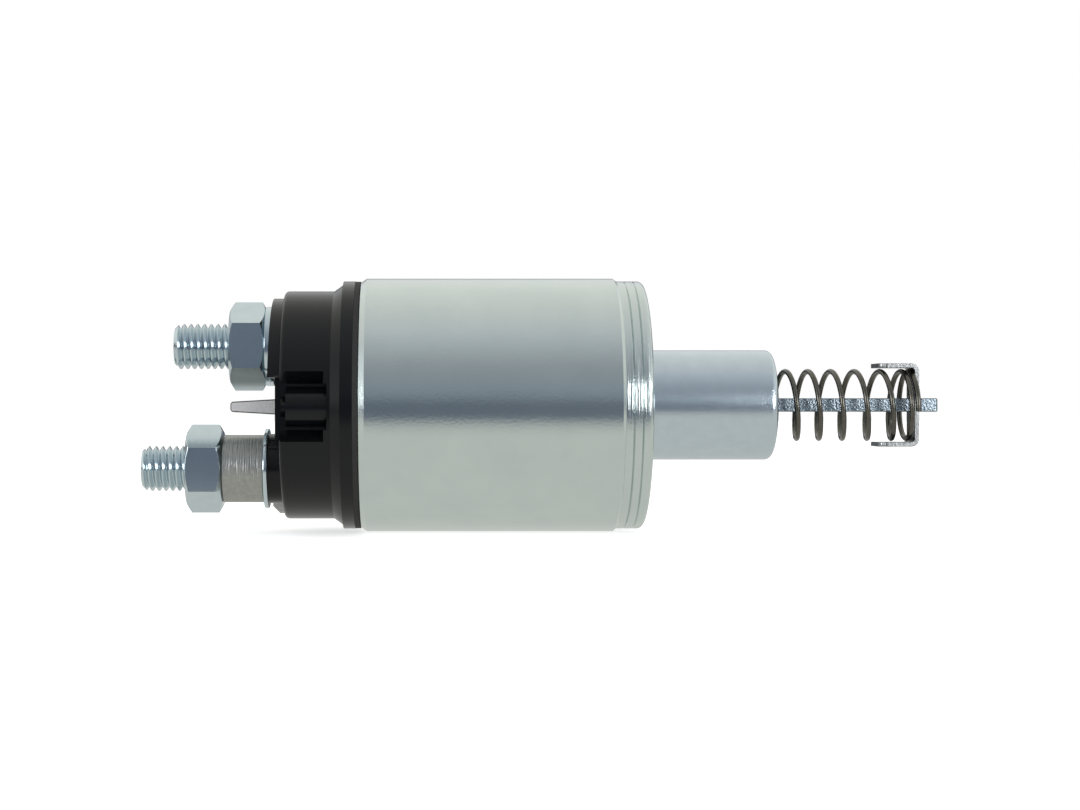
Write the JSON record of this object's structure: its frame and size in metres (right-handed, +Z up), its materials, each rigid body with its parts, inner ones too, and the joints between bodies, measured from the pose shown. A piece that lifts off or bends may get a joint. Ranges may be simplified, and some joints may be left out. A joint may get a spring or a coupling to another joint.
{
  "type": "starter solenoid",
  "caption": "Cylindrical starter solenoid: steel can, black terminal cap with threaded studs, and a spring-loaded plunger with a flat drawbar and clip that pulls a starter's shift lever.",
  "frame": {"origin": "centre of the can's front face, which bolts to the starter", "axes": "+X along the can's axis towards the drawbar, +Z up through the battery stud, -Y towards the viewer of the picture"},
  "size_m": [0.1756, 0.056, 0.056],
  "materials": {
    "zinc_steel": "zinc-plated, satin",
    "turned_steel": "turned, bare",
    "spring_steel": "oiled spring wire",
    "clip_steel": "bright strip",
    "core_steel": "turned, phosphated",
    "black_moulding": "moulded, satin",
    "seal_rubber": "matt",
    "gasket_fibre": "matt",
    "bobbin_nylon": "moulded",
    "coil_wire": "enamelled copper wire",
    "coil_wrap": "varnished paper",
    "sleeve_brass": "drawn",
    "contact_copper": "bright copper",
    "bush_plastic": "moulded",
    "tinned_brass": "tin-plated"
  },
  "bodies": {
    "housing": {"solenoid_can": "zinc_steel", "terminal_cap": "black_moulding", "cap_gasket": "gasket_fibre", "battery_stud": "zinc_steel", "motor_stud": "zinc_steel", "battery_nut": "zinc_steel", "motor_nut": "zinc_steel", "battery_lock_washer": "zinc_steel", "motor_split_washer": "zinc_steel", "motor_spacer": "turned_steel", "blade_terminal": "tinned_brass", "winding_lug": "tinned_brass", "battery_stud_seal": "seal_rubber", "motor_stud_seal": "seal_rubber", "cap_screw_near": "zinc_steel", "cap_screw_far": "zinc_steel", "fixed_core": "core_steel", "guide_sleeve": "sleeve_brass", "coil_bobbin": "bobbin_nylon", "hold_in_winding": "coil_wire", "pull_in_winding": "coil_wire", "winding_wrap": "coil_wrap", "return_spring": "spring_steel", "contact_return_spring": "spring_steel"},
    "plunger": {"plunger": "zinc_steel", "drawbar": "zinc_steel", "release_spring": "spring_steel"},
    "clip": {"spring_clip": "clip_steel"},
    "contact": {"push_rod": "core_steel", "contact_disc": "contact_copper", "disc_bush_front": "bush_plastic", "disc_bush_rear": "bush_plastic", "rod_clip": "spring_steel", "contact_spring": "spring_steel"}
  },
  "joints": [
    {"name": "plunger_slide", "type": "slide", "parent": "housing", "child": "plunger", "axis": [1, 0, 0], "range_m": [-0.011, 0], "stiffness_N_per_m": 1200, "springref_m": 0.016, "deforming": ["return_spring"]},
    {"name": "clip_slide", "type": "slide", "parent": "plunger", "child": "clip", "axis": [1, 0, 0], "range_m": [-0.009, 0], "stiffness_N_per_m": 2500, "springref_m": 0.008, "deforming": ["release_spring"]},
    {"name": "contact_slide", "type": "slide", "parent": "housing", "child": "contact", "axis": [1, 0, 0], "range_m": [-0.00275, 0], "deforming": ["contact_return_spring"]}
  ],
  "couplings": [
    {"joint": "contact_slide", "follows": "plunger_slide", "ratio": 0.25}
  ]
}
